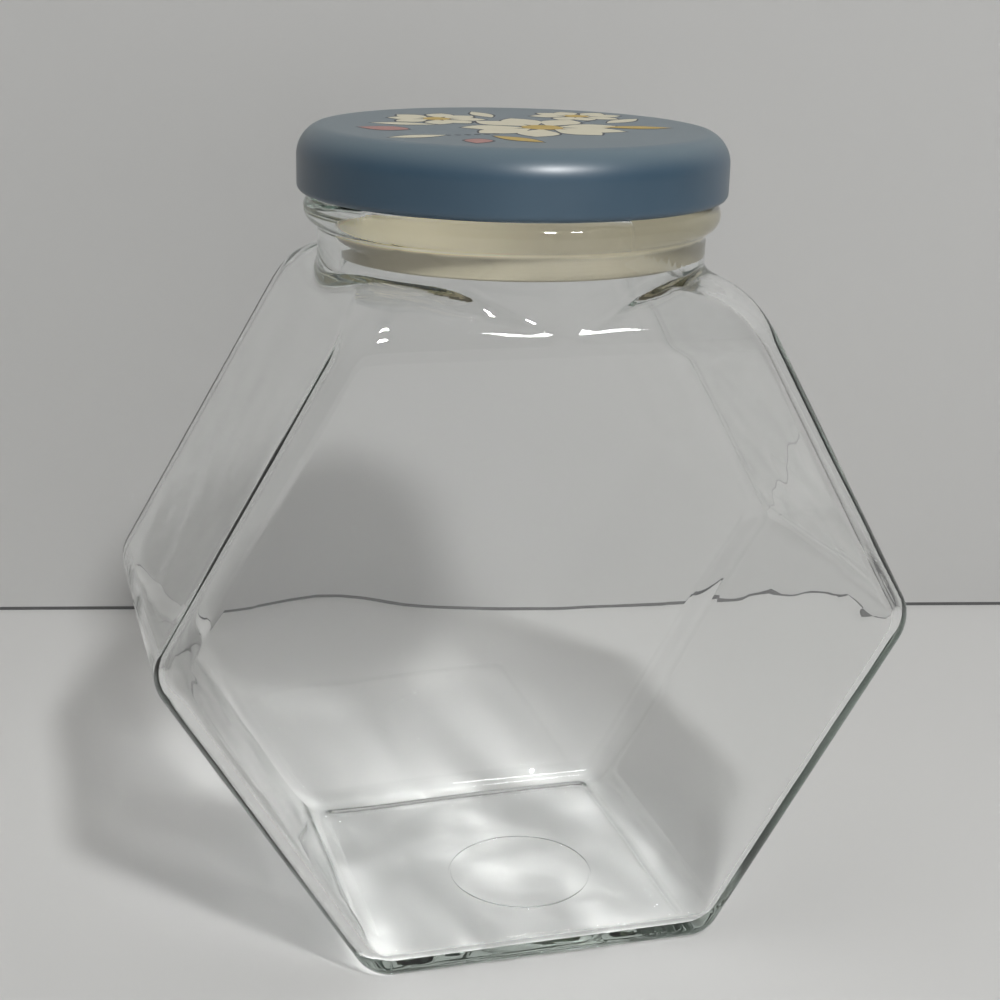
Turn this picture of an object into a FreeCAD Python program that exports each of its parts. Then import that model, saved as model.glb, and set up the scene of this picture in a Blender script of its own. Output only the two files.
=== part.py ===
import FreeCAD, Part
import math
import os
import Sketcher

# A glass storage jar that is a hexagon seen from the front and a plain slab seen from the side, with a wide
# round neck, a pressed steel screw lid and the plastic plug seal that hangs in the neck under the lid.
#
# Frame: millimetres, +Z up, the origin under the middle of the base, the hexagonal front towards -Y.

SIZES = (
    # Body of the jar, measured to the sharp corners before they are rounded.
    ("belly_half_width", 83.2, "axis to a side point"),
    ("belly_height", 72.1, "base to the side points"),
    ("base_half_width", 39.0, "axis to a lower corner"),
    ("body_height", 144.2, "base to the shoulder line, where the leaning walls run out"),
    ("belly_round", 9.2, "radius of a side point, seen from the front"),
    ("edge_round", 5.5, "radius of the long front and back edges"),
    ("heel_round", 3.6, "radius round the underside"),
    # Thickness of the glass.
    ("wall", 2.3, "side, front and back walls"),
    ("base_glass", 2.8, "glass under the floor of the jar"),
    ("inner_edge_round", 3.2, "radius of the long edges inside"),
    ("inner_heel_round", 4.0, "radius round the floor inside"),
    # Shoulder and neck. The neck sets the depth of the body, the width of its top, the lid and the seal.
    ("neck_radius", 41.3, "outside of the neck"),
    ("neck_glass", 4.9, "thickness of the neck"),
    ("depth_margin", 0.3, "front face beyond the neck"),
    ("shoulder_margin", 0.2, "top corner beyond the neck"),
    ("dome_rise", 3.3, "shoulder line to the tops of the domed corners round the neck"),
    ("corner_roll", 11.0, "roll from the walls over to the domes"),
    ("neck_roll", 3.4, "hollow from the domes up to the neck"),
    ("inner_corner_roll", 9.8, "the same roll inside"),
    ("inner_neck_roll", 3.4, "the same hollow inside"),
    ("shelf_rise", 0.4, "slope of the domes' tops towards the neck"),
    ("neck_height", 28.7, "shoulder line to the rim"),
    ("bead_rise", 13.7, "shoulder line to the middle of the bead"),
    ("bead_radius", 2.8, "round section of the bead"),
    ("bead_reach", 2.9, "bead beyond the neck"),
    ("rim_round", 1.0, "outer edge of the rim"),
    # Mark that the closing plate of the mould leaves under the base, a little off the middle.
    ("mark_radius", 16.4, "middle of the ring"),
    ("mark_width", 0.6, "width of the ring"),
    ("mark_depth", 0.3, "depth of the ring"),
    ("mark_right", 4.2, "middle of the ring right of the axis"),
    ("mark_forward", 5.2, "middle of the ring in front of the axis"),
    # Lid.
    ("lid_margin", 4.2, "skirt beyond the neck"),
    ("lid_clearance", 0.2, "bead to the lower edge of the lid"),
    ("lid_shoulder", 6.8, "radius from the skirt to the top"),
    ("crease_margin", 4.5, "crease round the flat top inside the skirt"),
    ("lid_sheet", 0.5, "steel sheet with its coating"),
    ("curl_radius", 1.4, "rolled lower edge"),
    # Seal.
    ("seal_clearance", 0.3, "seal to the inside of the neck"),
    ("seal_wall", 1.5, "sleeve of the seal"),
    ("seal_flange", 1.2, "flange between the rim and the lid"),
    ("seal_rise", 4.2, "shoulder line to the lower edge of the seal"),
    ("flange_margin", 0.6, "flange inside the crease of the lid"),
)

# Sizes that follow from the ones above.
WORKED = (
    ("half_depth", "Sizes.neck_radius + Sizes.depth_margin"),
    ("top_half_width", "Sizes.neck_radius + Sizes.shoulder_margin"),
    ("low_lean", "atan((Sizes.belly_half_width - Sizes.base_half_width) / Sizes.belly_height)"),
    ("high_lean", "atan((Sizes.belly_half_width - Worked.top_half_width)"
                  " / (Sizes.body_height - Sizes.belly_height))"),
    ("belly_lift", "Sizes.belly_round * (cos(Worked.high_lean) - cos(Worked.low_lean))"
                   " / sin(Worked.low_lean + Worked.high_lean)"),
    ("belly_setback", "(Sizes.belly_round + Worked.belly_lift * sin(Worked.high_lean))"
                      " / cos(Worked.high_lean)"),
    ("bore_radius", "Sizes.neck_radius - Sizes.neck_glass"),
    ("bead_height", "Sizes.body_height + Sizes.bead_rise"),
    ("rim_height", "Sizes.body_height + Sizes.neck_height"),
    ("dome_top", "Sizes.body_height + Sizes.dome_rise"),
    ("lid_radius", "Sizes.neck_radius + Sizes.lid_margin"),
    ("lid_edge", "Worked.bead_height + Sizes.bead_radius + Sizes.lid_clearance"),
    ("lid_top", "Worked.rim_height + Sizes.seal_flange + Sizes.lid_sheet"),
    ("panel_radius", "Worked.lid_radius - Sizes.crease_margin"),
    ("shoulder_start", "Worked.lid_top - sqrt(Sizes.lid_shoulder^2"
                       " - (Sizes.lid_shoulder - Sizes.crease_margin)^2)"),
    ("inner_panel_radius", "Worked.lid_radius - Sizes.lid_shoulder"
                           " + sqrt((Sizes.lid_shoulder - Sizes.lid_sheet)^2"
                           " - (Worked.lid_top - Sizes.lid_sheet - Worked.shoulder_start)^2)"),
)

# Flats that make up the rounding of a side point.
BELLY_STEPS = 4
# Degrees turned at each level of a heel, roll or hollow.
ROLL_TURNS = (0, 30, 60, 90)
# Half of the straight stretch left between the corner arcs where the body has turned round.
SEAM = 0.05
# How far a corner arc of radius 1 keeps inside its sharp corner.
DIAGONAL = math.sqrt(2) - 1

doc = FreeCAD.newDocument("StorageJar")


def fill_sheet():
    """Write the driving sizes into the sheet, one to a row: name, value, note."""
    sheet = doc.addObject("Spreadsheet::Sheet", "Sizes")
    for row, (alias, value, note) in enumerate(SIZES, start=1):
        sheet.set(f"A{row}", alias)
        sheet.set(f"B{row}", str(value))
        sheet.set(f"C{row}", note)
        sheet.setAlias(f"B{row}", alias)
    doc.recompute()


def fill_worked_sizes():
    """Keep the worked-out sizes in a set of variables that later expressions read."""
    worked = doc.addObject("App::VarSet", "Worked")
    for name, formula in WORKED:
        worked.addProperty("App::PropertyFloat", name, "Worked")
        worked.setExpression(name, formula)
        doc.recompute()


def new_sketch(body, name, role):
    """Start a sketch on one of the body's own origin planes."""
    plane = next(feature for feature in body.Origin.OriginFeatures if feature.Role == role)
    sketch = body.newObject("Sketcher::SketchObject", name)
    sketch.AttachmentSupport = (plane, [""])
    sketch.MapMode = "FlatFace"
    return sketch


def bind(sketch, constraint, name, formula):
    """Add a constraint that holds a size, name it and bind it to its formula."""
    index = sketch.addConstraint(constraint)
    sketch.renameConstraint(index, name)
    sketch.setExpression(f"Constraints.{name}", formula)


def level(body, name, height, half_width, half_depth, corner):
    """Draw one level of the body: a rectangle with round corners, centred on the axis."""
    sketch = new_sketch(body, name, "XY_Plane")
    sketch.setExpression("AttachmentOffset.Base.z", height)
    w, d, r = (sketch.evalExpression(formula) for formula in (half_width, half_depth, corner))
    up = FreeCAD.Vector(0, 0, 1)
    geometry = []
    for quarter, (across, along) in enumerate(((1, -1), (1, 1), (-1, 1), (-1, -1))):
        centre = FreeCAD.Vector(across * (w - r), along * (d - r), 0)
        start = (quarter - 1) * math.pi / 2
        geometry.append(Part.ArcOfCircle(Part.Circle(centre, up, r), start, start + math.pi / 2))
    for quarter in range(4):
        here = geometry[quarter].EndPoint
        there = geometry[(quarter + 1) % 4].StartPoint
        geometry.append(Part.LineSegment(here, there))
    sketch.addGeometry([shape for pair in zip(geometry[:4], geometry[4:]) for shape in pair])
    rules = [Sketcher.Constraint("Tangent", i, 2, (i + 1) % 8, 1) for i in range(8)]
    rules += [Sketcher.Constraint("Vertical", i) for i in (1, 5)]
    rules += [Sketcher.Constraint("Horizontal", i) for i in (3, 7)]
    rules += [Sketcher.Constraint("Equal", 0, i) for i in (2, 4, 6)]
    rules.append(Sketcher.Constraint("Symmetric", 0, 3, 4, 3, -1, 1))
    sketch.addConstraint(rules)
    bind(sketch, Sketcher.Constraint("DistanceX", -1, 1, 1, 1, w), "half_width", half_width)
    bind(sketch, Sketcher.Constraint("DistanceY", -1, 1, 3, 1, d), "half_depth", half_depth)
    bind(sketch, Sketcher.Constraint("Radius", 0, r), "corner", corner)
    return sketch


def low_side(height, inset):
    """Half width at a height below the side points, of a wall set in by so much."""
    return f"Sizes.base_half_width + ({height}) * tan(Worked.low_lean) - {inset} / cos(Worked.low_lean)"


def high_side(height, inset):
    """Half width at a height above the side points, of a wall set in by so much."""
    return (f"Worked.top_half_width + (Sizes.body_height - ({height})) * tan(Worked.high_lean)"
            f" - {inset} / cos(Worked.high_lean)")


def heel_levels(inset, floor, heel, edge):
    """Levels round the floor: every wall turns inwards by the same quarter round."""
    rows = []
    for turn in reversed(ROLL_TURNS):
        height = f"{floor} + {heel} * (1 - sin({turn}))"
        pull = f"{heel} * (1 - cos({turn}))"
        rows.append((height,
                     f"{low_side(height, inset)} - {pull}",
                     f"Worked.half_depth - {inset} - {pull}",
                     f"{edge} * (1 + cos({turn})) / 2"))
    return rows


def belly_levels(inset, edge):
    """Levels over a side point, on the arc that joins the two leaning walls."""
    rows = []
    for step in range(BELLY_STEPS + 1):
        turn = f"({step / BELLY_STEPS} * (Worked.low_lean + Worked.high_lean) - Worked.low_lean)"
        rows.append((f"Sizes.belly_height + Worked.belly_lift + (Sizes.belly_round - {inset}) * sin({turn})",
                     f"Sizes.belly_half_width - Worked.belly_setback"
                     f" + (Sizes.belly_round - {inset}) * cos({turn})",
                     f"Worked.half_depth - {inset}",
                     edge))
    return rows


def shoulder_levels(inset, ceiling, edge, roll, throat, hollow, end):
    """Levels from the walls over the domed corners into the round throat.

    The walls reach the throat's radius on a curve that starts a roll below the ceiling and ends at the top
    of the hollow. The corner arcs grow meanwhile, which rolls each corner over and leads it round the neck.
    """
    start = f"({ceiling} - {roll})"
    finish = f"({ceiling} + {hollow})"
    side = high_side(start, inset)
    front = f"Worked.half_depth - {inset}"

    def row(height, corner):
        fade = f"(({finish} - ({height})) / ({finish} - {start}))^2"
        return (height,
                f"{throat} + ({side} - {throat}) * {fade}",
                f"{throat} + ({front} - {throat}) * {fade}",
                corner)

    rows = [row(f"{ceiling} - {roll} * (1 - sin({turn}))",
                f"{edge} + {roll} / {DIAGONAL:.6f} * (1 - cos({turn}))") for turn in ROLL_TURNS]
    rows += [row(f"{ceiling} + Sizes.shelf_rise + ({hollow} - Sizes.shelf_rise) * (1 - cos({turn}))",
                 f"{throat} - {SEAM} - {hollow} / {DIAGONAL:.6f} * (1 - sin({turn}))") for turn in ROLL_TURNS]
    rows.append((end, throat, throat, f"{throat} - {SEAM}"))
    return rows


def loft(body, kind, name, rows):
    """Join levels into a solid that is added to the body or cut from it."""
    sketches = [level(body, f"{name}Level{number:02d}", *row) for number, row in enumerate(rows, start=1)]
    doc.recompute()
    feature = body.newObject(kind, name)
    feature.Profile = sketches[0]
    feature.Sections = sketches[1:]
    feature.Ruled = True
    doc.recompute()
    return feature


def arc_between(start, end, bend):
    """Arc from one point to another, turning left where the bend radius is positive, else right."""
    chord = end - start
    reach = math.sqrt(max(bend * bend - chord.Length ** 2 / 4, 0))
    left = FreeCAD.Vector(-chord.y, chord.x, 0).normalize()
    centre = start + chord / 2 + left * math.copysign(reach, bend)
    first, last = (start, end) if bend > 0 else (end, start)
    angles = [math.atan2(p.y - centre.y, p.x - centre.x) for p in (first, last)]
    circle = Part.Circle(centre, FreeCAD.Vector(0, 0, 1), abs(bend))
    return Part.ArcOfCircle(circle, *angles)


def profile(body, name, corners):
    """Draw a closed outline in the XZ plane, for turning about the axis.

    Each corner is its name, its distance from the axis, its height and the radius of the run that leaves
    it: positive turns left, negative turns right, None is straight.
    """
    sketch = new_sketch(body, name, "XZ_Plane")
    read = sketch.evalExpression
    points = [FreeCAD.Vector(read(across), read(height), 0) for _, across, height, _ in corners]
    count = len(corners)
    ends = []
    for i, (_, _, _, bend) in enumerate(corners):
        here, there = points[i], points[(i + 1) % count]
        if bend is None:
            sketch.addGeometry(Part.LineSegment(here, there))
            ends.append((1, 2))
        else:
            turn = read(bend)
            sketch.addGeometry(arc_between(here, there, turn))
            ends.append((1, 2) if turn > 0 else (2, 1))
    for i, (corner, across, height, bend) in enumerate(corners):
        following = (i + 1) % count
        sketch.addConstraint(Sketcher.Constraint("Coincident", i, ends[i][1], following, ends[following][0]))
        if across == "0":
            sketch.addConstraint(Sketcher.Constraint("PointOnObject", i, ends[i][0], -2))
        else:
            rule = Sketcher.Constraint("DistanceX", -1, 1, i, ends[i][0], points[i].x)
            bind(sketch, rule, f"{corner}_radius", across)
        rule = Sketcher.Constraint("DistanceY", -1, 1, i, ends[i][0], points[i].y)
        bind(sketch, rule, f"{corner}_height", height)
        if bend is not None:
            rule = Sketcher.Constraint("Radius", i, abs(read(bend)))
            bind(sketch, rule, f"{corner}_bend", f"abs({bend})")
    return sketch


def revolve(body, name, sketch):
    """Turn an outline once round the axis."""
    feature = body.newObject("PartDesign::Revolution", name)
    feature.Profile = sketch
    feature.ReferenceAxis = (sketch, ["V_Axis"])
    feature.Angle = 360
    doc.recompute()
    return feature


def make_jar():
    """The jar: one piece of glass, blown with its neck, bead and rim."""
    body = doc.addObject("PartDesign::Body", "Jar")
    body.Label = "jar"
    outside = heel_levels("0", "0", "Sizes.heel_round", "Sizes.edge_round")
    outside += belly_levels("0", "Sizes.edge_round")
    outside += shoulder_levels("0", "Worked.dome_top", "Sizes.edge_round", "Sizes.corner_roll",
                               "Sizes.neck_radius", "Sizes.neck_roll", "Worked.bead_height")
    loft(body, "PartDesign::AdditiveLoft", "Glass", outside)

    bead = "Sizes.neck_radius + Sizes.bead_reach - Sizes.bead_radius"
    under = "Worked.bead_height - Sizes.bead_radius"
    over = "Worked.bead_height + Sizes.bead_radius"
    finish = profile(body, "FinishOutline", (
        ("middle_low", "0", under, None),
        ("bead_low", bead, under, "Sizes.bead_radius"),
        ("bead_out", "Sizes.neck_radius + Sizes.bead_reach", "Worked.bead_height", "Sizes.bead_radius"),
        ("bead_high", bead, over, None),
        ("finish_low", "Sizes.neck_radius", over, None),
        ("finish_high", "Sizes.neck_radius", "Worked.rim_height - Sizes.rim_round", "Sizes.rim_round"),
        ("rim", "Sizes.neck_radius - Sizes.rim_round", "Worked.rim_height", None),
        ("middle_high", "0", "Worked.rim_height", None)))
    revolve(body, "Finish", finish)

    inside = heel_levels("Sizes.wall", "Sizes.base_glass", "Sizes.inner_heel_round", "Sizes.inner_edge_round")
    inside += belly_levels("Sizes.wall", "Sizes.inner_edge_round")
    inside += shoulder_levels("Sizes.wall", "(Worked.dome_top - Sizes.wall)", "Sizes.inner_edge_round",
                              "Sizes.inner_corner_roll", "Worked.bore_radius", "Sizes.inner_neck_roll",
                              "Worked.rim_height + 1")
    loft(body, "PartDesign::SubtractiveLoft", "Hollow", inside)
    cut_mark(body)
    return body


def cut_mark(body):
    """The shallow ring that the mould leaves under the base."""
    before = body.Shape.Volume
    sketch = new_sketch(body, "MarkRing", "XY_Plane")
    read = sketch.evalExpression
    centre = FreeCAD.Vector(read("Sizes.mark_right"), -read("Sizes.mark_forward"), 0)
    for index, side in enumerate(("-", "+")):
        radius = f"Sizes.mark_radius {side} Sizes.mark_width / 2"
        sketch.addGeometry(Part.Circle(centre, FreeCAD.Vector(0, 0, 1), read(radius)))
        bind(sketch, Sketcher.Constraint("Radius", index, read(radius)), f"ring_{index}", radius)
    sketch.addConstraint(Sketcher.Constraint("Coincident", 0, 3, 1, 3))
    bind(sketch, Sketcher.Constraint("DistanceX", -1, 1, 0, 3, centre.x), "right", "Sizes.mark_right")
    bind(sketch, Sketcher.Constraint("DistanceY", 0, 3, -1, 1, -centre.y), "forward", "Sizes.mark_forward")
    doc.recompute()
    pocket = body.newObject("PartDesign::Pocket", "Mark")
    pocket.Profile = sketch
    pocket.Reversed = True
    pocket.setExpression("Length", "Sizes.mark_depth")
    doc.recompute()
    ring = read("2 * pi * Sizes.mark_radius * Sizes.mark_width * Sizes.mark_depth")
    if abs(before - body.Shape.Volume - ring) > 0.01 * ring:
        raise RuntimeError("the ring under the base isn't cut as deep as it should be")


def make_lid():
    """The lid: one pressing of coated steel, with a flat top, a round shoulder and a rolled edge."""
    body = doc.addObject("PartDesign::Body", "Lid")
    body.Label = "lid"
    inner = "Worked.lid_radius - Sizes.lid_sheet"
    curl_middle = "Worked.lid_radius - Sizes.curl_radius"
    curl_end = "Worked.lid_radius - 2 * Sizes.curl_radius"
    curl_height = "Worked.lid_edge + Sizes.curl_radius"
    curl_inside = "Sizes.curl_radius - Sizes.lid_sheet"
    under_panel = "Worked.lid_top - Sizes.lid_sheet"
    outline = profile(body, "LidOutline", (
        ("top_middle", "0", "Worked.lid_top", None),
        ("crease", "Worked.panel_radius", "Worked.lid_top", "-Sizes.lid_shoulder"),
        ("skirt_high", "Worked.lid_radius", "Worked.shoulder_start", None),
        ("skirt_low", "Worked.lid_radius", curl_height, "-Sizes.curl_radius"),
        ("edge", curl_middle, "Worked.lid_edge", "-Sizes.curl_radius"),
        ("curl_out", curl_end, curl_height, None),
        ("curl_in", f"{curl_end} + Sizes.lid_sheet", curl_height, curl_inside),
        ("inner_edge", curl_middle, "Worked.lid_edge + Sizes.lid_sheet", curl_inside),
        ("inner_low", inner, curl_height, None),
        ("inner_high", inner, "Worked.shoulder_start", "Sizes.lid_shoulder - Sizes.lid_sheet"),
        ("inner_crease", "Worked.inner_panel_radius", under_panel, None),
        ("under_middle", "0", under_panel, None)))
    revolve(body, "Pressing", outline)
    return body


def make_seal():
    """The seal: a moulded plastic sleeve that hangs in the neck from a flange on the rim."""
    body = doc.addObject("PartDesign::Body", "Seal")
    body.Label = "seal"
    outer = "Worked.bore_radius - Sizes.seal_clearance"
    inner = f"{outer} - Sizes.seal_wall"
    flange = "Worked.panel_radius - Sizes.flange_margin"
    low = "Sizes.body_height + Sizes.seal_rise"
    top = "Worked.rim_height + Sizes.seal_flange"
    outline = profile(body, "SealOutline", (
        ("sleeve_in", inner, low, None),
        ("sleeve_out", outer, low, None),
        ("flange_root", outer, "Worked.rim_height", None),
        ("flange_low", flange, "Worked.rim_height", None),
        ("flange_high", flange, top, None),
        ("sleeve_top", inner, top, None)))
    revolve(body, "Moulding", outline)
    return body


def check(bodies):
    """Stop before anything is written if an object failed or a piece isn't one sound solid."""
    for thing in doc.Objects:
        if "Invalid" in thing.State or "Error" in thing.State:
            raise RuntimeError(f"{thing.Name} failed: {thing.State}")
    for body in bodies:
        if body.Shape.isNull() or not body.Shape.isValid() or len(body.Shape.Solids) != 1:
            raise RuntimeError(f"{body.Label} isn't one sound solid")


fill_sheet()
fill_worked_sizes()
bodies = [make_jar(), make_lid(), make_seal()]
doc.recompute()
check(bodies)
os.makedirs("parts", exist_ok=True)
for body in bodies:
    body.Shape.exportStep(f"parts/{body.Label}.step")
    box = body.Shape.optimalBoundingBox(False)
    print(f"{body.Label}: {box.XLength:.1f} x {box.YLength:.1f} x {box.ZLength:.1f} mm,"
          f" {body.Shape.Volume / 1000:.1f} cm3")
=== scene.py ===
import math
import bmesh
import bpy
from mathutils import Matrix, Vector, noise


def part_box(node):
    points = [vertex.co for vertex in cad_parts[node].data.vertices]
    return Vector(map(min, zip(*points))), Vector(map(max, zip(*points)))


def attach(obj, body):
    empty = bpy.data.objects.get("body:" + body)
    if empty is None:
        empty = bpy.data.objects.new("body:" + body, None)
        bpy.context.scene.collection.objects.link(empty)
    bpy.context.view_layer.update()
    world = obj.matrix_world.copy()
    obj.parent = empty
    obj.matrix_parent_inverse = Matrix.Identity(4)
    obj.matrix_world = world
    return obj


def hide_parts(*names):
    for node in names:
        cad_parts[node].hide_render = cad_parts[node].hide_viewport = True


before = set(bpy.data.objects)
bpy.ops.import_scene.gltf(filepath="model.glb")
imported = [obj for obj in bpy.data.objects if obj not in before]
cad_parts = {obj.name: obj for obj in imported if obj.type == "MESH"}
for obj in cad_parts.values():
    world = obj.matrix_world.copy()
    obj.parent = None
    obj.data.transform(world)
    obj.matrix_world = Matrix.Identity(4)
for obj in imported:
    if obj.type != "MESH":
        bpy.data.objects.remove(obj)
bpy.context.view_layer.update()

# ---------------------------------------------------------------------------------------------------------
# The jar. Clear soda glass, blown in a mould as one piece: a hexagon seen from the front, a slab seen from
# the side, with a round neck as wide as the slab is deep. The mould makes the outside true, and the inside
# runs a little uneven, which bends what is seen through it.
# ---------------------------------------------------------------------------------------------------------
MM = 0.001

rim_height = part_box("jar")[1].z / MM
neck_height = 28.7          # from the shoulder line up to the rim
body_height = rim_height - neck_height
belly_height = body_height / 2
belly_half_width = 83.2     # to the side points as if they were sharp
belly_round = 9.2           # rounding of the side points
base_half_width = 39.0
neck_radius = 41.3
bore_radius = 36.4
half_depth = neck_radius + 0.3
top_half_width = neck_radius + 0.2
dome_top = body_height + 3.3    # tops of the domed corners beside the neck
wall = 2.3
base_glass = 2.8
push_up = 0.4               # how far the underside stands off the table inside its heel
floor_swell = 0.5           # how far the floor inside rises towards its middle
mould_ring_middle = (4.2, -5.2)
mould_ring_radius = 16.4
bead_height = body_height + 13.4
bead_radius = 3.3
bead_sink = 0.4             # how far the bead's middle lies inside the neck's outside
rim_round = 1.0
inner_rim_round = 0.8

low_lean = math.atan((belly_half_width - base_half_width) / belly_height)
high_lean = math.atan((belly_half_width - top_half_width) / (body_height - belly_height))

SIDE_STEPS = 30         # stretches along each side of a level
CORNER_STEPS = 10       # stretches round each corner of a level
HEEL_STEPS = 10
LOW_WALL_STEPS = 40
BELLY_STEPS = 16
HIGH_WALL_STEPS = 36
SHOULDER_STEPS = 18
CORNER_GROWTH = 0.9     # how much a corner's rounding grows as the shoulder rolls in
NECK_FILLET = 3.0       # widest fillet between the shoulder and the neck
CLOSE_IN = 20           # how far under the ceiling the slab starts to close in on the neck


def side_stops():
    """Stops along a side, as shares of it from -1 to 1, evenly spread as seen from the axis at the neck."""
    reach = math.radians(40)
    return [math.tan(reach * (2 * i / SIDE_STEPS - 1)) / math.tan(reach) for i in range(SIDE_STEPS + 1)]


def level(half_width, depth, corner, height):
    """One level of the body: a rectangle with round corners, starting at the right side's front end."""
    points = []
    for quarter in range(4):
        turn = Matrix.Rotation(quarter * math.pi / 2, 2)
        out, along = (half_width, depth) if quarter % 2 == 0 else (depth, half_width)
        for stop in side_stops():
            points.append(turn @ Vector((out, stop * (along - corner))))
        for step in range(1, CORNER_STEPS):
            bend = step / CORNER_STEPS * math.pi / 2
            centre = Vector((out - corner, along - corner))
            points.append(turn @ (centre + corner * Vector((math.cos(bend), math.sin(bend)))))
    return [Vector((p.x, p.y, height)) for p in points]


def outward_directions():
    """The outward direction of each point of a level, in plan."""
    directions = []
    for quarter in range(4):
        turn = Matrix.Rotation(quarter * math.pi / 2, 2)
        directions += [turn @ Vector((1, 0)) for _ in range(SIDE_STEPS + 1)]
        for step in range(1, CORNER_STEPS):
            bend = step / CORNER_STEPS * math.pi / 2
            directions.append(turn @ Vector((math.cos(bend), math.sin(bend))))
    return directions


class Skin:
    """The outside or the inside of the glass: the same form, set in by so much."""

    def __init__(self, inset, floor, heel, edge, ceiling, roll, throat, neck_start):
        self.inset = inset
        self.floor = floor
        self.heel = heel
        self.edge = edge
        self.ceiling = ceiling
        self.roll = roll
        self.throat = throat
        self.neck_start = neck_start
        self.depth = half_depth - inset
        self.belly_round = belly_round - inset
        lift = belly_round * (math.cos(high_lean) - math.cos(low_lean)) / math.sin(low_lean + high_lean)
        setback = (belly_round + lift * math.sin(high_lean)) / math.cos(high_lean)
        self.belly_x = belly_half_width - setback
        self.belly_z = belly_height + lift

    def half_width(self, height):
        """Half width at a height: two leaning walls and the arc that joins them."""
        from_middle = height - self.belly_z
        if from_middle < -self.belly_round * math.sin(low_lean):
            return base_half_width + height * math.tan(low_lean) - self.inset / math.cos(low_lean)
        if from_middle > self.belly_round * math.sin(high_lean):
            return (top_half_width + (body_height - height) * math.tan(high_lean)
                    - self.inset / math.cos(high_lean))
        return self.belly_x + math.sqrt(self.belly_round ** 2 - from_middle ** 2)

    def heel_rings(self):
        """Rings from the flat floor round the heel to the walls."""
        rings = []
        for step in range(HEEL_STEPS + 1):
            turn = math.radians(90 - 90 * step / HEEL_STEPS)
            height = self.floor + self.heel * (1 - math.sin(turn))
            pull = self.heel * (1 - math.cos(turn))
            rings.append(level(self.half_width(height) - pull, self.depth - pull,
                               self.edge * (1 + math.cos(turn)) / 2, height))
        return rings

    def wall_rings(self):
        """Rings up both leaning walls and over the side points, to just under the shoulder's foot."""
        low_end = self.belly_z - self.belly_round * math.sin(low_lean)
        high_start = self.belly_z + self.belly_round * math.sin(high_lean)
        high_end = self.ceiling - self.roll - 1
        start = self.floor + self.heel
        heights = [start + (low_end - start) * i / LOW_WALL_STEPS for i in range(1, LOW_WALL_STEPS + 1)]
        for step in range(1, BELLY_STEPS):
            turn = -low_lean + (low_lean + high_lean) * step / BELLY_STEPS
            heights.append(self.belly_z + self.belly_round * math.sin(turn))
        heights += [high_start + (high_end - high_start) * i / HIGH_WALL_STEPS
                    for i in range(HIGH_WALL_STEPS + 1)]
        return [level(self.half_width(h), self.depth, self.edge, h) for h in heights]

    def shoulder_rings(self):
        """Rings that roll the walls over towards the neck, wherever the neck leaves them room to."""
        z_turn = self.ceiling - self.roll * (1 - math.sin(high_lean))
        foot = level(self.half_width(self.ceiling - self.roll), self.depth, self.edge, 0)
        soft = [min(NECK_FILLET, max(0.01, (p.length - self.throat) * 0.3)) for p in foot]
        rings = []
        for step in range(SHOULDER_STEPS + 1):
            turn = math.pi / 2 * step / SHOULDER_STEPS
            height = self.ceiling - self.roll * (1 - math.sin(turn))
            pull = self.roll * (1 - math.cos(turn))
            if turn < high_lean:
                half_width = self.half_width(height)
            else:
                half_width = self.half_width(z_turn) - self.roll * (math.cos(high_lean) - math.cos(turn))
            ring = level(half_width, self.depth - pull, self.edge + CORNER_GROWTH * pull, height)
            rings.append([self.round_the_neck(p, k) for p, k in zip(ring, soft)])
        for share in (0.15, 0.3, 0.45, 0.6, 0.8, 1):
            height = self.ceiling + (self.neck_start - self.ceiling) * share
            rings.append([self.round_the_neck(Vector((p.x, p.y, height)), 0.01 + k * (1 - share) ** 2)
                          for p, k in zip(ring, soft)])
        return rings

    def round_the_neck(self, point, soft):
        """A point kept from coming inside the neck, with a fillet between the shoulder and the neck."""
        reach = math.hypot(point.x, point.y)
        climb = (point.z - self.ceiling + CLOSE_IN) / (self.neck_start - self.ceiling + CLOSE_IN)
        rise = min(1.0, max(0.0, climb))
        spread = self.depth - self.throat
        neck = self.throat + spread * (1 - rise * rise * (3 - 2 * rise)) * abs(point.y / reach) ** 6
        near = max(soft - abs(reach - neck), 0) / soft
        kept = max(reach, neck) + near * near * soft / 4
        return Vector((point.x / reach * kept, point.y / reach * kept, point.z))

    def rings(self):
        """All rings from the floor to the throat."""
        return self.heel_rings() + self.wall_rings() + self.shoulder_rings()


outside = Skin(inset=0, floor=0, heel=3.6, edge=5.5, ceiling=dome_top, roll=12,
               throat=neck_radius, neck_start=body_height + 8)
inside = Skin(inset=wall, floor=base_glass, heel=4, edge=4.2, ceiling=dome_top - wall, roll=12,
              throat=bore_radius, neck_start=body_height + 11)

spokes = [Vector((p.x, p.y)).normalized() for p in level(top_half_width, half_depth, 6, 0)]


def circle(radius, height, middle=(0, 0)):
    """A ring with one point on each spoke."""
    return [Vector((middle[0] + radius * s.x, middle[1] + radius * s.y, height)) for s in spokes]


def underside_rings():
    """The underside, a little hollow inside its heel, with the ring of the mould's closing plate."""
    groove = ((-1.2, 0), (-0.5, 0), (-0.3, 0.03), (-0.15, 0.07), (0, 0.09), (0.15, 0.07), (0.3, 0.03),
              (0.5, 0), (1.2, 0))
    rings = [circle(radius, push_up, mould_ring_middle) for radius in (3, 9)]
    rings += [circle(mould_ring_radius + step, push_up + depth, mould_ring_middle) for step, depth in groove]
    rings.append(circle(24, push_up, mould_ring_middle))
    heel = outside.heel_rings()[0]
    for share, lift in ((0.88, 1), (0.93, 0.9), (0.96, 0.5), (0.98, 0.15)):
        rings.append([Vector((p.x * share, p.y * share, push_up * lift)) for p in heel])
    return rings


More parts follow.
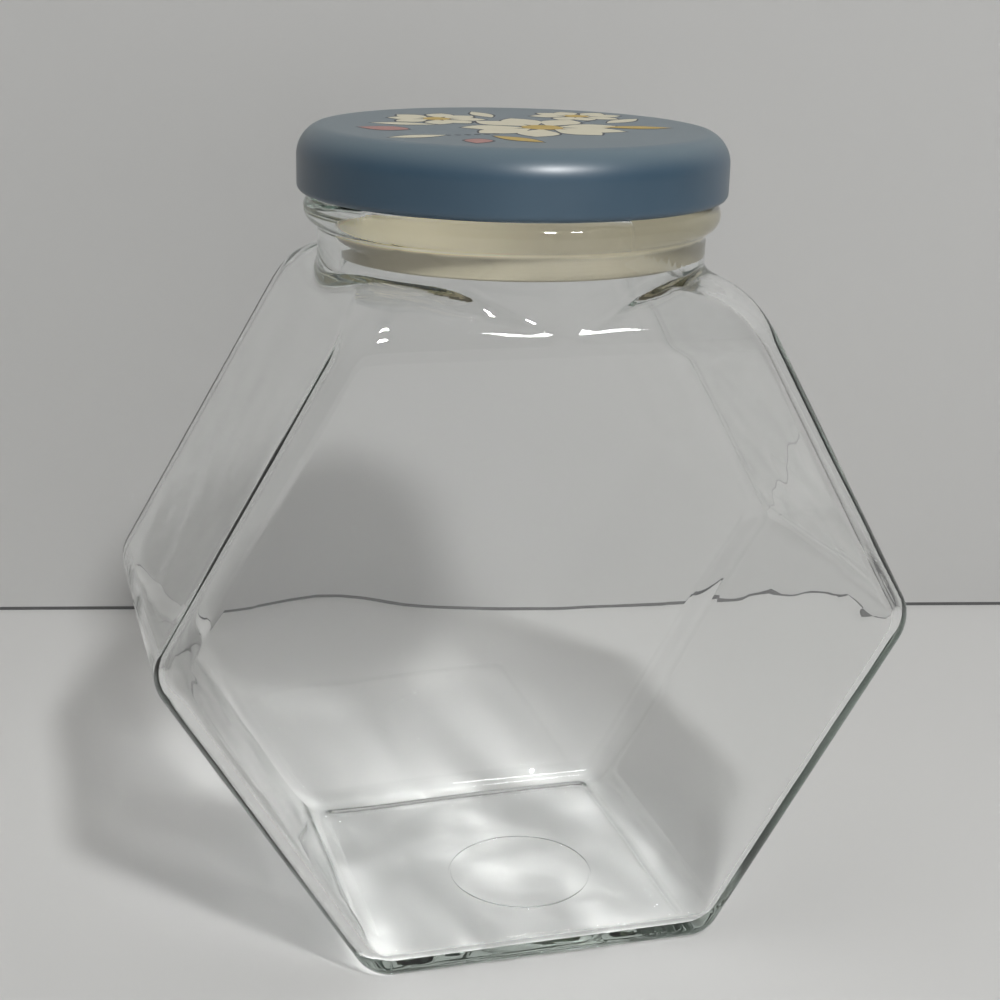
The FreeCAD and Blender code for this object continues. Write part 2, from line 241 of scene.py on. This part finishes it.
def finish_rings():
    """The neck above the shoulder: the round bead, the finish under the lid and the rounded rim."""
    rings = [circle(neck_radius, bead_height - 4.3), circle(neck_radius + 0.05, bead_height - 3.8)]
    for step in range(17):
        turn = math.radians(-76 + 152 * step / 16)
        rings.append(circle(neck_radius - bead_sink + bead_radius * math.cos(turn),
                            bead_height + bead_radius * math.sin(turn)))
    rings.append(circle(neck_radius + 0.05, bead_height + 3.8))
    rings.append(circle(neck_radius, bead_height + 4.4))
    for step in range(7):
        turn = math.radians(90 * step / 6)
        rings.append(circle(neck_radius - rim_round + rim_round * math.cos(turn),
                            rim_height - rim_round + rim_round * math.sin(turn)))
    for step in range(7):
        turn = math.radians(90 + 90 * step / 6)
        rings.append(circle(bore_radius + inner_rim_round + inner_rim_round * math.cos(turn),
                            rim_height - inner_rim_round + inner_rim_round * math.sin(turn)))
    rings.append(circle(bore_radius, rim_height - 6))
    rings.append(circle(bore_radius, body_height + 15))
    return rings


def swell(point, x, z, width, height):
    """A smooth swelling about a place on the broad faces, 1 in its middle and fading to 0."""
    return math.exp(-((point.x - x) / width) ** 2 - ((point.z - z) / height) ** 2)


def unevenness(point):
    """How far the inside stands off its true form at a point, in millimetres."""
    broad = noise.noise(Vector((point.x / 34, point.y / 34, point.z / 30)))
    fine = noise.noise(Vector((point.x / 9 + 7, point.y / 12, point.z / 8 + 3)))
    crinkle = noise.noise(Vector((point.x / 4, point.y / 6 + 5, point.z / 4)))
    side = min(1.0, max(0.0, (abs(point.x) - 38) / 30))
    right_belly = swell(point, 62, 76, 20, 16)
    ripples = 0.15 * broad + (0.015 + 0.06 * side + 0.12 * right_belly) * fine + 0.10 * right_belly * crinkle
    on_front = point.y < -38
    thick_spots = 0.8 * swell(point, -46, 72, 15, 20) + 0.7 * swell(point, 60, 74, 20, 17)
    return ripples - thick_spots * on_front


def uneven(rings):
    """The inside's rings, each point moved level with the ground by the unevenness of the glass there."""
    moved = []
    for ring in rings:
        fresh = []
        for point, out in zip(ring, outward_directions()):
            fade = min(1.0, max(0.0, (body_height - 4 - point.z) / 12))
            push = unevenness(point) * fade
            fresh.append(Vector((point.x + out.x * push, point.y + out.y * push, point.z)))
        moved.append(fresh)
    return moved


def floor_rings(first):
    """The floor inside, from the heel's last ring in to the middle, a little proud in the middle."""
    rings = []
    for share in (0.85, 0.65, 0.45, 0.25, 0.1):
        ring = []
        for p in first:
            ripple = 0.25 * noise.noise(Vector((p.x * share / 15, p.y * share / 15, 0.5)))
            ring.append(Vector((p.x * share, p.y * share, p.z + floor_swell * (1 - share ** 2) + ripple)))
        rings.append(ring)
    return rings


def new_piece(name, mesh):
    """A piece of the scene made from a mesh."""
    piece = bpy.data.objects.new(name, mesh)
    bpy.context.collection.objects.link(piece)
    return piece


def skin_mesh(name, rings, first_tip, last_tip):
    """A closed mesh through rings of equal count, shut by a point at each end."""
    count = len(rings[0])
    vertices = [first_tip] + [p for ring in rings for p in ring] + [last_tip]
    faces = [(0, 1 + (i + 1) % count, 1 + i) for i in range(count)]
    for row in range(len(rings) - 1):
        here = 1 + row * count
        there = here + count
        for i in range(count):
            after = (i + 1) % count
            faces.append((here + i, here + after, there + after, there + i))
    last = 1 + (len(rings) - 1) * count
    faces += [(last + i, last + (i + 1) % count, len(vertices) - 1) for i in range(count)]
    mesh = bpy.data.meshes.new(name)
    mesh.from_pydata([tuple(v * MM) for v in vertices], [], faces)
    mesh.shade_smooth()
    mesh.update()
    return new_piece(name, mesh)


def make_jar():
    """The whole glass as one closed surface: underside, outside, rim, then down the inside."""
    inner = uneven(inside.rings())
    rings = underside_rings() + outside.rings() + finish_rings() + inner[::-1] + floor_rings(inner[0])
    underside_middle = Vector((*mould_ring_middle, push_up))
    floor_middle = Vector((0, 0, base_glass + floor_swell))
    return skin_mesh("jar_glass", rings, underside_middle, floor_middle)


def fresh_nodes(owner, output_kind):
    """Empty a material's or world's nodes but for a new output; gives it, a node maker and a joiner."""
    owner.use_nodes = True
    tree = owner.node_tree
    tree.nodes.clear()

    def add(kind, values=None, **settings):
        """A new node with these settings, and these values at its named inputs."""
        node = tree.nodes.new(kind)
        for key, value in settings.items():
            setattr(node, key, value)
        for key, value in (values or {}).items():
            node.inputs[key].default_value = value
        return node

    return add(output_kind), add, tree.links.new


def new_material(name):
    """An empty node material, with its output, node maker and joiner."""
    material = bpy.data.materials.new(name)
    return material, *fresh_nodes(material, "ShaderNodeOutputMaterial")


def clouds(add, link, place, scale, detail):
    """A soft random pattern through a piece."""
    pattern = add("ShaderNodeTexNoise", {"Scale": scale, "Detail": detail})
    link(place, pattern.inputs["Vector"])
    return pattern.outputs["Fac"]


def graded(add, link, value, start, end, low=0.0, high=1.0, course="SMOOTHSTEP"):
    """A number that goes from low to high while a value goes from start to end."""
    grade = add("ShaderNodeMapRange", {"From Min": start, "From Max": end, "To Min": low, "To Max": high},
                interpolation_type=course)
    link(value, grade.inputs["Value"])
    return grade.outputs["Result"]


def times(add, link, first, second):
    """The product of two numbers."""
    product = add("ShaderNodeMath", operation="MULTIPLY")
    link(first, product.inputs[0])
    link(second, product.inputs[1])
    return product.outputs[0]


def gathered_light(add, link, place):
    """The streaks in which uneven glass gathers the light that it lets through, left out at the neck."""
    stretched = add("ShaderNodeMapping", {"Scale": (75, 75, 9)})
    link(place, stretched.inputs["Vector"])
    lens = clouds(add, link, stretched.outputs["Vector"], 1.0, 3)
    streaks = graded(add, link, lens, 0.42, 0.66, 0.68, 1.46)
    parts = add("ShaderNodeSeparateXYZ")
    link(place, parts.inputs[0])
    at_neck = graded(add, link, parts.outputs["Z"], 0.136, 0.144, course="LINEAR")
    even_at_neck = add("ShaderNodeMix", {"B": 1.3}, data_type="FLOAT")
    link(at_neck, even_at_neck.inputs["Factor"])
    link(streaks, even_at_neck.inputs["A"])
    return even_at_neck.outputs[0]


def glass_material():
    """Clear glass, a little green where it is thick. Lamps shine through it, weaker where they graze it."""
    material, output, add, link = new_material("clear_glass")
    glass = add("ShaderNodeBsdfPrincipled", {"Base Color": (1, 1, 1, 1), "Roughness": 0.0, "IOR": 1.5,
                                             "Transmission Weight": 1.0})
    place = add("ShaderNodeTexCoord").outputs["Object"]
    facing = add("ShaderNodeLayerWeight", {"Blend": 0.5})
    passed = graded(add, link, facing.outputs["Facing"], 0.45, 0.98, 0.76, 0.2)
    lamp_light = add("ShaderNodeBsdfTransparent")
    link(times(add, link, passed, gathered_light(add, link, place)), lamp_light.inputs["Color"])
    path = add("ShaderNodeLightPath")
    mix = add("ShaderNodeMixShader")
    link(path.outputs["Is Shadow Ray"], mix.inputs[0])
    link(glass.outputs[0], mix.inputs[1])
    link(lamp_light.outputs[0], mix.inputs[2])
    link(mix.outputs[0], output.inputs["Surface"])
    depth = add("ShaderNodeVolumeAbsorption", {"Color": (0.52, 0.70, 0.6, 1), "Density": 8.0})
    link(depth.outputs[0], output.inputs["Volume"])
    return material


jar = make_jar()
jar.data.materials.append(glass_material())
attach(jar, "root")
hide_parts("jar")

# ---------------------------------------------------------------------------------------------------------
# The seal. A tan polyethylene sleeve, moulded with a flange that lies on the rim under the lid. It hangs in
# the neck and shows through the glass as a band.
# ---------------------------------------------------------------------------------------------------------
LATHE_STEPS = 144

seal_low, seal_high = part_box("seal")
seal_bottom = seal_low.z / MM
seal_top = seal_high.z / MM
flange_radius = seal_high.x / MM
sleeve_radius = bore_radius - 0.3
sleeve_inside = sleeve_radius - 1.5

pressed_middle = math.radians(-30)      # the sleeve is pressed against the neck about here
pressed_reach = math.radians(58)
pressed_fade = math.radians(25)
pressed_out = 0.34


def lathe(name, outline):
    """Turn a closed outline of radius and height pairs once round the axis."""
    vertices = []
    for step in range(LATHE_STEPS):
        turn = 2 * math.pi * step / LATHE_STEPS
        vertices += [(r * math.cos(turn) * MM, r * math.sin(turn) * MM, z * MM) for r, z in outline]
    count = len(outline)
    faces = []
    for step in range(LATHE_STEPS):
        here = step * count
        there = (step + 1) % LATHE_STEPS * count
        for i in range(count):
            after = (i + 1) % count
            if outline[i][0] or outline[after][0]:
                faces.append((here + i, there + i, there + after, here + after))
    mesh = bpy.data.meshes.new(name)
    mesh.from_pydata(vertices, [], faces)
    cleaner = bmesh.new()
    cleaner.from_mesh(mesh)
    bmesh.ops.remove_doubles(cleaner, verts=cleaner.verts, dist=1e-7)
    cleaner.to_mesh(mesh)
    cleaner.free()
    mesh.shade_smooth()
    mesh.update()
    return new_piece(name, mesh)


def rounded(corners, steps=5):
    """A closed outline whose corners are rounded: each corner is its radius, its height and its rounding."""
    points = []
    count = len(corners)
    for i, (r, z, size) in enumerate(corners):
        here = Vector((r, z))
        before = Vector(corners[i - 1][:2]) - here
        after = Vector(corners[(i + 1) % count][:2]) - here
        for step in range(steps + 1):
            share = step / steps
            a = here + before.normalized() * size * (1 - share) ** 2
            points.append(tuple(a + after.normalized() * size * share ** 2))
    return points


def press_against_neck(sleeve):
    """Push the outside of the sleeve out to the glass on the side where it bears on the neck."""
    for corner in sleeve.data.vertices:
        if corner.co.z >= (rim_height - 3) * MM or corner.co.xy.length <= (sleeve_radius - 0.7) * MM:
            continue
        away = abs(math.atan2(corner.co.y, corner.co.x) - pressed_middle)
        closeness = min(1.0, max(0.0, (pressed_reach - away) / pressed_fade))
        corner.co.xy *= 1 + closeness * pressed_out / sleeve_radius


def two_tones(add, link, pattern, first, second, start=0.0, end=1.0):
    """A colour that goes from one tone to another with a pattern."""
    ramp = add("ShaderNodeValToRGB")
    for element, position, tone in zip(ramp.color_ramp.elements, (start, end), (first, second)):
        element.position = position
        element.color = (*tone, 1)
    link(pattern, ramp.inputs["Fac"])
    return ramp.outputs["Color"]


def relief(add, link, pattern, strength, distance):
    """The fine relief that a pattern gives a surface."""
    bump = add("ShaderNodeBump", {"Strength": strength, "Distance": distance})
    link(pattern, bump.inputs["Height"])
    return bump.outputs["Normal"]


def seal_material():
    """Tan plastic with faint mottling and the fine flow lines of a moulding, with painted light: darker at
    its foot and lighter towards the lid and the left.
    """
    material, output, add, link = new_material("seal_plastic")
    place = add("ShaderNodeTexCoord").outputs["Object"]
    mottle = clouds(add, link, place, 60, 4)
    tan = two_tones(add, link, mottle, (0.56, 0.50, 0.365), (0.64, 0.58, 0.43))
    parts = add("ShaderNodeSeparateXYZ")
    link(place, parts.inputs[0])
    # Painted light: the tan is scaled from 0.45 low on the sleeve to 1.6 near the lid, and up to 1.9 times
    # towards the left. This stands in for light that the lid and the window leave off it.
    upward = graded(add, link, parts.outputs["Z"], 0.1525, 0.155, 0.45, 1.6)
    painted_light_leftward = graded(add, link, parts.outputs["X"], -0.034, 0.0, 1.9, 1.0)
    tan_with_painted_light = add("ShaderNodeVectorMath", operation="SCALE")
    link(tan, tan_with_painted_light.inputs[0])
    link(times(add, link, upward, painted_light_leftward), tan_with_painted_light.inputs["Scale"])
    flow_lines = add("ShaderNodeTexWave", {"Scale": 400, "Distortion": 1.5}, wave_type="BANDS",
                     bands_direction="Z")
    link(place, flow_lines.inputs["Vector"])
    plastic = add("ShaderNodeBsdfPrincipled", {"Roughness": 0.45})
    link(tan_with_painted_light.outputs[0], plastic.inputs["Base Color"])
    link(relief(add, link, flow_lines.outputs["Fac"], 0.15, 0.00005), plastic.inputs["Normal"])
    link(plastic.outputs[0], output.inputs["Surface"])
    return material


seal = lathe("plug_seal", rounded((
    (sleeve_inside, seal_bottom, 0.5),
    (sleeve_radius, seal_bottom, 0.5),
    (sleeve_radius, rim_height - 4, 0.5),
    (sleeve_radius, rim_height, 0.1),
    (flange_radius, rim_height, 0.2),
    (flange_radius, seal_top, 0.2),
    (sleeve_inside, seal_top, 0.3))))
press_against_neck(seal)
seal.data.materials.append(seal_material())
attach(seal, "root")
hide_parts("seal")

# ---------------------------------------------------------------------------------------------------------
# The lid. Thin steel, pressed to a flat top with a crease, a round shoulder and a rolled lower edge, and
# coated in slate blue lacquer.
# ---------------------------------------------------------------------------------------------------------
print_room = 0.05       # how far the sheet's top lies below the part's highest point, for the print
lid_shoulder = 6.8
crease_margin = 4.5     # from the skirt in to the crease
lid_sheet = 0.5
curl_radius = 1.4


def lid_outline():
    """The sheet's outline from the middle of the top over the skirt and the roll, and back inside."""
    low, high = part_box("lid")
    radius = high.x / MM
    top = high.z / MM - print_room
    edge = low.z / MM
    panel = radius - crease_margin
    centre_radius = radius - lid_shoulder
    centre_height = top - math.sqrt(lid_shoulder ** 2 - (panel - centre_radius) ** 2)
    crease = math.asin((panel - centre_radius) / lid_shoulder)
    outer = [(0, top), (2, top), (12, top), (25, top), (panel - 3, top), (panel - 0.9, top - 0.01),
             (panel - 0.35, top - 0.03)]
    for step in range(1, 17):
        turn = crease + (math.pi / 2 - crease) * step / 16
        outer.append((centre_radius + lid_shoulder * math.sin(turn),
                      centre_height + lid_shoulder * math.cos(turn)))
    outer += [(radius, centre_height - 2), (radius, edge + curl_radius + 1)]
    for step in range(13):
        turn = math.pi * step / 12
        outer.append((radius - curl_radius + curl_radius * math.cos(turn),
                      edge + curl_radius - curl_radius * math.sin(turn)))
    inner_curl = curl_radius - lid_sheet
    inner_shoulder = lid_shoulder - lid_sheet
    inner = []
    for step in range(13):
        turn = math.pi * (1 - step / 12)
        inner.append((radius - curl_radius + inner_curl * math.cos(turn),
                      edge + curl_radius - inner_curl * math.sin(turn)))
    inner += [(radius - lid_sheet, centre_height)]
    for step in range(1, 9):
        turn = math.pi / 2 - (math.pi / 2 - crease) * step / 8
        inner.append((centre_radius + inner_shoulder * math.sin(turn),
                      centre_height + inner_shoulder * math.cos(turn)))
    inner += [(20, top - lid_sheet), (2, top - lid_sheet), (0, top - lid_sheet)]
    return (outer + inner)[::-1]


def lid_material():
    """Slate blue lacquer under a clear coat, with fine orange peel; the flat top carries a painted
    reflection, a greyer blue for the pale wall it mirrors.
    """
    material, output, add, link = new_material("lid_paint")
    place = add("ShaderNodeTexCoord").outputs["Object"]
    cloud = clouds(add, link, place, 35, 5)
    slate = two_tones(add, link, cloud, (0.032, 0.064, 0.097), (0.042, 0.080, 0.117), 0.3, 0.7)
    parts = add("ShaderNodeSeparateXYZ")
    link(place, parts.inputs[0])
    # Painted reflection: the flat top's colour is lifted to a grey blue, standing in for the pale wall that
    # it mirrors at a grazing angle.
    painted_sheen_on_top = graded(add, link, parts.outputs["Z"], 0.1695, 0.1744)
    lacquer = add("ShaderNodeMix", {"B": (0.10, 0.142, 0.168, 1)}, data_type="RGBA")
    link(painted_sheen_on_top, lacquer.inputs["Factor"])
    link(slate, lacquer.inputs["A"])
    paint = add("ShaderNodeBsdfPrincipled", {"Roughness": 0.36, "Specular IOR Level": 0.6,
                                             "Coat Weight": 0.12, "Coat Roughness": 0.3})
    link(lacquer.outputs["Result"], paint.inputs["Base Color"])
    peel = clouds(add, link, place, 900, 2)
    link(relief(add, link, peel, 0.08, 0.00008), paint.inputs["Normal"])
    link(paint.outputs[0], output.inputs["Surface"])
    return material


lid = lathe("lid_pressing", lid_outline())
lid.data.materials.append(lid_material())
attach(lid, "root")
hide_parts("lid")

# ---------------------------------------------------------------------------------------------------------
# The print on the lid. Flat lacquer colours, printed on the sheet before it was pressed: a loose spray of
# cream daisies with ochre eyes, a rosy bud and slender leaves, each with a dark slate outline.
# ---------------------------------------------------------------------------------------------------------
PRINT_LAYER = 0.011     # each colour lies this much above the one before it, in millimetres

line_width = 0.55
line_forms = []
cream_forms = []
ochre_forms = []
rosy_forms = []


def leaf_form(length, width, fullness=1.0, steps=14):
    """A leaf or petal that starts at the origin and grows along x, as a closed line of points."""
    top_edge = []
    for step in range(1, steps):
        share = step / steps
        top_edge.append(Vector((length * share, width / 2 * math.sin(math.pi * share ** fullness))))
    return ([Vector((0, 0))] + [Vector((p.x, -p.y)) for p in top_edge] + [Vector((length, 0))]
            + top_edge[::-1])


def round_form(radius, steps=28):
    """A round dot as a closed line of points, slightly irregular like a hand cut one."""
    return [Vector((math.cos(a), math.sin(a))) * radius * (1 + 0.04 * math.sin(3 * a + radius))
            for a in (2 * math.pi * i / steps for i in range(steps))]


def placed(form, at, turn, start=0.0):
    """A form turned, and moved to its place; start moves it out along its own direction first."""
    spin = Matrix.Rotation(math.radians(turn), 2)
    return [Vector(at) + spin @ (p + Vector((start, 0))) for p in form]


def grow(forms, length, width, at, turn, start=0.0, fullness=1.0):
    """Add a leaf or petal in a colour, with its dark outline under it."""
    forms.append(placed(leaf_form(length, width, fullness), at, turn, start))
    line_forms.append(placed(leaf_form(length + 2 * line_width, width + 2 * line_width, fullness),
                             at, turn, start - line_width))


def daisy(at, petals, length, width, eye, first_turn):
    """A daisy: an even ring of petals, no two quite alike, round an ochre eye."""
    for i in range(petals):
        wander = 5 * math.sin(2.3 * i + eye)
        grow(cream_forms, length * (1 + 0.07 * math.sin(1.7 * i + at[0])), width, at,
             first_turn + 360 * i / petals + wander, start=eye * 0.6, fullness=1.35)
    line_forms.append(placed(round_form(eye + line_width), at, 0))
    ochre_forms.append(placed(round_form(eye), at, 0))


def print_material(name, colour, variation):
    """Flat print colour with the faint speckle of a rolled-on lacquer."""
    material, output, add, link = new_material(name)
    place = add("ShaderNodeTexCoord").outputs["Object"]
    speckle = clouds(add, link, place, 420, 3)
    tones = [tuple(min(1, c * factor) for c in colour) for factor in (1 - variation, 1 + variation)]
    ink = add("ShaderNodeBsdfPrincipled", {"Roughness": 0.42, "Specular IOR Level": 0.4})
    link(two_tones(add, link, speckle, *tones), ink.inputs["Base Color"])
    link(ink.outputs[0], output.inputs["Surface"])
    return material


STEM_DOTS = 24
for step in range(STEM_DOTS):
    share = step / (STEM_DOTS - 1)
    at = Vector((-25 + 48 * share, -17 + 30 * share - 10 * math.sin(math.pi * share)))
    line_forms.append(placed(round_form(0.75, 10), at, 0))
for leaf_at, leaf_turn, leaf_length in (((-19, -17), 195, 13), ((-10, -19), 300, 14), ((18, -4), 350, 15),
                                        ((22, 4), 40, 13), ((-16, 3), 160, 14), ((0, 17), 95, 13)):
    grow(cream_forms if leaf_turn < 200 else ochre_forms, leaf_length, leaf_length * 0.34, leaf_at, leaf_turn)
daisy((5, -4), 9, 15.5, 8.6, 4.4, 12)
daisy((-13, 15), 8, 9.5, 6.0, 3.0, 30)
daisy((20, 19), 8, 8.5, 5.4, 2.7, 0)
grow(rosy_forms, 11, 7.5, (-24, -6), 150, fullness=0.8)
grow(rosy_forms, 8, 5.5, (-14, -24), 250, fullness=0.8)

print_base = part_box("lid")[1].z - print_room * MM
for layer, (name, forms, colour, variation) in enumerate((
        ("print_line", line_forms, (0.022, 0.030, 0.042), 0.15),
        ("print_cream", cream_forms, (0.60, 0.56, 0.42), 0.05),
        ("print_rosy", rosy_forms, (0.36, 0.17, 0.15), 0.08),
        ("print_ochre", ochre_forms, (0.47, 0.32, 0.06), 0.08)), start=1):
    mesh = bpy.data.meshes.new(name)
    corners = []
    faces = []
    for number, form in enumerate(forms):
        first = len(corners)
        height = print_base + (layer + 0.4 * (number % 9) / 9) * PRINT_LAYER * MM
        corners += [(q.x * MM, q.y * MM, height) for q in form]
        faces.append(tuple(range(first, len(corners))))
    mesh.from_pydata(corners, [], faces)
    mesh.update()
    piece = new_piece(name, mesh)
    mesh.materials.append(print_material(name, colour, variation))
    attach(piece, "root")

# ---------------------------------------------------------------------------------------------------------
# The table and the wall. Plain pale surfaces; the wall stands behind the table at a slight angle, with a
# thin dark strip of painted shade along its foot. The wall is seen from its front only, so the jar can be
# looked at from every side.
# ---------------------------------------------------------------------------------------------------------
table_reach = 3
table_top = -0.0001     # a hair below the jar's foot, so that the two faces don't coincide
wall_turn = math.radians(-11.7)
wall_along = Vector((math.cos(wall_turn), math.sin(wall_turn), 0))
wall_foot = Vector((0, 0.18, 0))
left_foot = wall_foot - wall_along * 2.5
right_foot = wall_foot + wall_along * 2.5
up = Vector((0, 0, 2.2))
painted_foot_shade = wall_along.cross(Vector((0, 0, 1))) * 0.002
painted_foot_shade_rise = up / 2000


def plain_sheet(name, corners, colour, roughness, one_sided=False):
    """A flat stage surface with a faint unevenness of tone."""
    mesh = bpy.data.meshes.new(name)
    mesh.from_pydata(corners, [], [tuple(range(len(corners)))])
    sheet = new_piece(name, mesh)
    material, output, add, link = new_material(name)
    place = add("ShaderNodeTexCoord").outputs["Object"]
    cloud = clouds(add, link, place, 3, 2)
    tones = [tuple(c * factor for c in colour) for factor in (0.985, 1.015)]
    surface = add("ShaderNodeBsdfPrincipled", {"Roughness": roughness, "Specular IOR Level": 0.3})
    link(two_tones(add, link, cloud, *tones), surface.inputs["Base Color"])
    shown = surface.outputs[0]
    if one_sided:
        geometry = add("ShaderNodeNewGeometry")
        clear = add("ShaderNodeBsdfTransparent")
        mix = add("ShaderNodeMixShader")
        link(geometry.outputs["Backfacing"], mix.inputs[0])
        link(surface.outputs[0], mix.inputs[1])
        link(clear.outputs[0], mix.inputs[2])
        shown = mix.outputs[0]
    link(shown, output.inputs["Surface"])
    sheet.data.materials.append(material)


table_corners = [(x * table_reach, y * table_reach, table_top)
                 for x, y in ((-1, -1), (1, -1), (1, 1), (-1, 1))]
plain_sheet("table", table_corners, (0.62, 0.615, 0.60), 0.55)
plain_sheet("wall", [left_foot, right_foot, right_foot + up, left_foot + up], (0.472, 0.469, 0.458), 0.9,
            one_sided=True)
# Painted shade: a dark strip about a millimetre tall just in front of the wall's foot, standing in for the
# shade where the wall meets the table.
plain_sheet("painted_foot_shade", [left_foot + painted_foot_shade, right_foot + painted_foot_shade, right_foot + painted_foot_shade + painted_foot_shade_rise, left_foot + painted_foot_shade + painted_foot_shade_rise],
            (0.10, 0.10, 0.10), 0.9, one_sided=True)

# ---------------------------------------------------------------------------------------------------------
# Light. A window with two panes in front and above, soft fills that the glass doesn't mirror, and a dim
# room round about that gives the glass its dark lines. Light is followed through many walls of glass, and
# its glints aren't cut off.
# ---------------------------------------------------------------------------------------------------------
jar_middle = (0, 0, 0.09)
daylight = (0.98, 0.99, 1)
lamplight = (1, 0.99, 0.98)
room_tone = 0.40


def area_light(name, place, target, size, power, colour, in_glass=True, on_surfaces=True):
    """A soft square lamp that faces its target; it can be kept out of the glass or off plain surfaces."""
    lamp = bpy.data.lights.new(name, "AREA")
    lamp.shape = "RECTANGLE"
    lamp.size, lamp.size_y = size
    lamp.energy = power
    lamp.color = colour
    holder = bpy.data.objects.new(name, lamp)
    holder.location = place
    holder.rotation_euler = (Vector(target) - Vector(place)).to_track_quat("-Z", "Y").to_euler()
    holder.visible_glossy = in_glass
    holder.visible_transmission = in_glass
    holder.visible_diffuse = on_surfaces
    holder.visible_camera = False
    bpy.context.collection.objects.link(holder)


def light_room():
    """The room: dim, with darker places that the glass mirrors, and plain and pale straight behind."""
    world = bpy.data.worlds.new("room")
    bpy.context.scene.world = world
    output, add, link = fresh_nodes(world, "ShaderNodeOutputWorld")
    place = add("ShaderNodeTexCoord")
    tone = None
    for direction, inner, outer, dark_tone in (
            ((-0.28, -0.95, 0.1), 0.40, 0.85, 0.16),    # the dim middle of the room, in front of the jar
            ((-1.0, -0.25, 0.0), 0.45, 0.95, 0.14),     # the dim end of the room
            ((0.9, -0.45, -0.05), 0.45, 0.8, 0.14)):    # a dark piece of furniture
        distance = add("ShaderNodeVectorMath", operation="DISTANCE")
        distance.inputs[1].default_value = Vector(direction).normalized()
        link(place.outputs["Generated"], distance.inputs[0])
        spot = graded(add, link, distance.outputs["Value"], inner, outer, dark_tone, room_tone, "LINEAR")
        if tone is None:
            tone = spot
        else:
            darker = add("ShaderNodeMath", operation="MINIMUM")
            link(tone, darker.inputs[0])
            link(spot, darker.inputs[1])
            tone = darker.outputs[0]
    room = add("ShaderNodeBackground")
    link(tone, room.inputs["Color"])
    pale = add("ShaderNodeBackground", {"Color": (0.42, 0.415, 0.40, 1)})
    path = add("ShaderNodeLightPath")
    mix = add("ShaderNodeMixShader")
    link(path.outputs["Is Camera Ray"], mix.inputs[0])
    link(room.outputs[0], mix.inputs[1])
    link(pale.outputs[0], mix.inputs[2])
    link(mix.outputs[0], output.inputs["Surface"])


area_light("window", (0.14, -1.07, 1.13), jar_middle, (0.13, 0.10), 13.5, daylight)
area_light("second_pane", (0.44, -1.0, 1.10), jar_middle, (0.13, 0.12), 2.5, daylight, on_surfaces=False)
area_light("overhead", (0.2, -0.3, 1.8), (0, 0.1, 0), (2.0, 2.0), 4, lamplight, in_glass=False)
area_light("front_fill", (0.0, -1.5, 0.22), jar_middle, (1.0, 0.5), 3.6, lamplight, in_glass=False)
light_room()
bpy.context.scene.cycles.max_bounces = 48
bpy.context.scene.cycles.transmission_bounces = 48
bpy.context.scene.cycles.glossy_bounces = 30
bpy.context.scene.cycles.sample_clamp_indirect = 0

# ---------------------------------------------------------------------------------------------------------
# Camera. It stands in front of the jar, a little to the left and above, and is held a little off level.
# ---------------------------------------------------------------------------------------------------------
azimuth = math.radians(-16.44)
elevation = math.radians(17.44)
tilt = math.radians(1.4)
distance = 0.40247
target = Vector((-1.07, 0, 92.32)) * MM
back = Vector((math.sin(azimuth) * math.cos(elevation), -math.cos(azimuth) * math.cos(elevation),
               math.sin(elevation)))
level_right = (-back).cross(Vector((0, 0, 1))).normalized()
level_up = level_right.cross(-back)
right = level_right * math.cos(tilt) + level_up * math.sin(tilt)
upward = level_up * math.cos(tilt) - level_right * math.sin(tilt)

camera_data = bpy.data.cameras.new("camera")
camera_data.sensor_width = 36
camera_data.lens = 64.92
camera = bpy.data.objects.new("camera", camera_data)
turned = Matrix((right, upward, back)).transposed().to_4x4()
camera.matrix_world = Matrix.Translation(target + back * distance) @ turned
bpy.context.collection.objects.link(camera)
bpy.context.scene.camera = camera
bpy.context.scene.view_settings.view_transform = "Standard"
